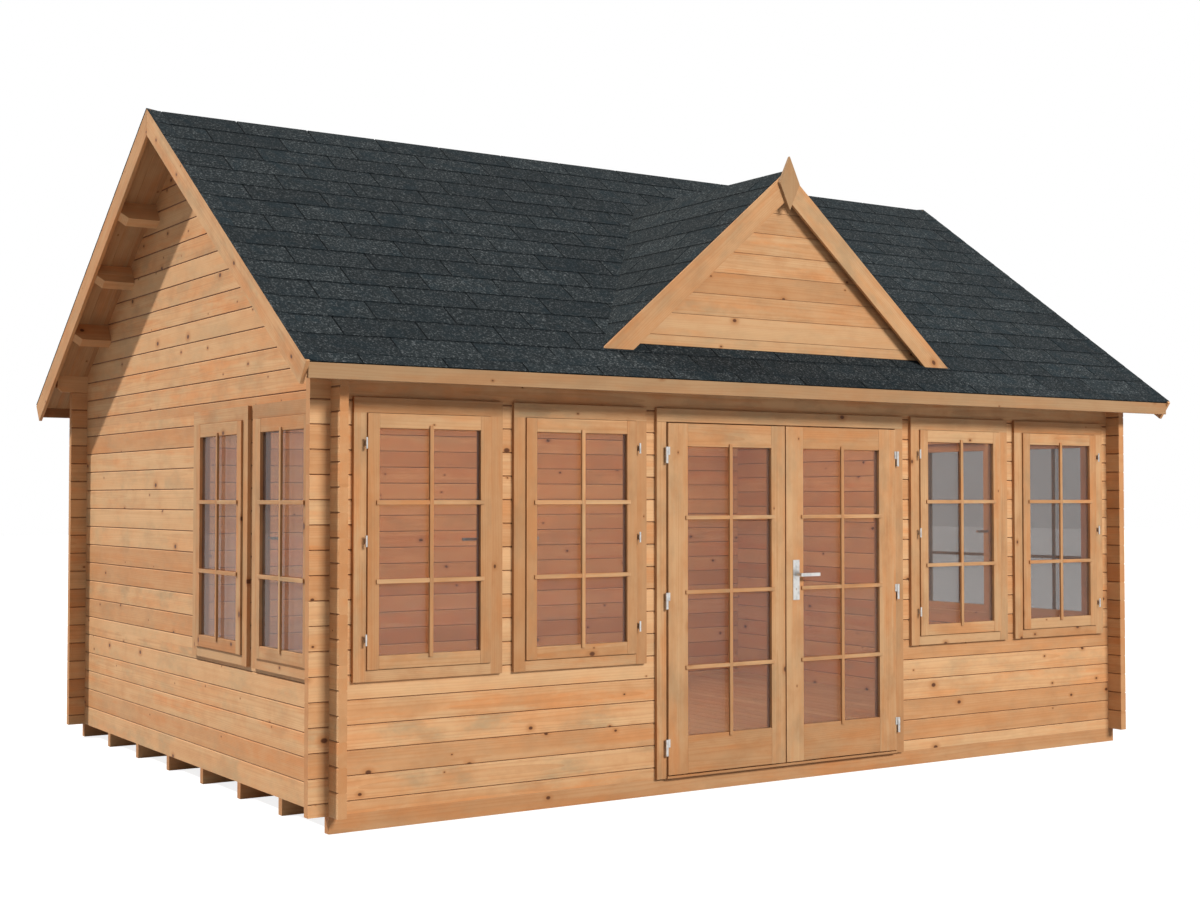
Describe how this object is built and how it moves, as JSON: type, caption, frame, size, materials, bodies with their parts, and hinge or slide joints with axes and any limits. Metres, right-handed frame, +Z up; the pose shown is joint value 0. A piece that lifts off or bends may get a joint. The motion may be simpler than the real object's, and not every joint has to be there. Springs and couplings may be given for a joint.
{
  "type": "log cabin",
  "caption": "Log cabin with crossed log corners, steep shingled roof, decorative front dormer, glazed double door and casement windows.",
  "frame": {"origin": "bottom centre of the cabin, on the ground under the bearers", "axes": "+X to the right along the front wall, +Y from front to back, +Z up"},
  "size_m": [5.774, 4.344, 3.6325],
  "materials": {
    "log_wood": "planed spruce logs, unpainted",
    "trim_wood": "planed spruce boards, unpainted",
    "joinery_wood": "planed joinery timber, oiled",
    "board_wood": "tongued boards, unpainted",
    "bearer_wood": "sawn bearers, treated",
    "shingle": "bitumen felt shingles with mineral granules",
    "glass": "clear sealed units",
    "hardware": "satin"
  },
  "bodies": {
    "cabin": {"foundation_bearers": "bearer_wood", "floor_boards": "board_wood", "front_wall_lower": "log_wood", "front_wall_piers": "log_wood", "front_wall_upper": "log_wood", "back_wall": "log_wood", "left_gable_lower": "log_wood", "left_gable_piers": "log_wood", "left_gable_upper": "log_wood", "right_gable_lower": "log_wood", "right_gable_piers": "log_wood", "right_gable_upper": "log_wood", "eave_logs": "log_wood", "purlins": "log_wood", "roof_boards_front": "board_wood", "roof_boards_rear": "board_wood", "roof_covering_front": "shingle", "roof_covering_rear": "shingle", "front_bargeboards": "trim_wood", "rear_bargeboards": "trim_wood", "eave_fascias": "trim_wood", "dormer_cladding": "trim_wood", "dormer_roof_left": "shingle", "dormer_roof_right": "shingle", "dormer_bargeboard_left": "trim_wood", "dormer_bargeboard_right": "trim_wood", "dormer_finial": "trim_wood", "window_frames": "joinery_wood", "window_sashes": "joinery_wood", "window_glass": "glass", "window_hinges": "hardware", "window_handles": "hardware", "door_jambs": "joinery_wood", "door_head": "joinery_wood", "door_sill": "joinery_wood", "door_stops": "joinery_wood", "door_hinge_pins": "hardware"},
    "left_door": {"left_door_leaf": "joinery_wood", "left_door_glass": "glass", "left_door_hinges": "hardware"},
    "right_door": {"right_door_leaf": "joinery_wood", "right_door_glass": "glass", "right_door_hinges": "hardware", "door_handle_plates": "hardware"},
    "lever": {"door_lever": "hardware"}
  },
  "joints": [
    {"name": "left_door_swing", "type": "hinge", "parent": "cabin", "child": "left_door", "pos_m": [-0.801, -1.935, 0.99], "axis": [0, 0, -1], "range_deg": [0, 150]},
    {"name": "right_door_swing", "type": "hinge", "parent": "cabin", "child": "right_door", "pos_m": [0.801, -1.935, 0.99], "axis": [0, 0, 1], "range_deg": [0, 150]},
    {"name": "lever_turn", "type": "hinge", "parent": "right_door", "child": "lever", "pos_m": [0.058, -1.908, 1.104], "axis": [0, 1, 0], "range_deg": [0, 45], "stiffness_Nm_per_rad": 1.5, "springref_deg": -17.19}
  ]
}
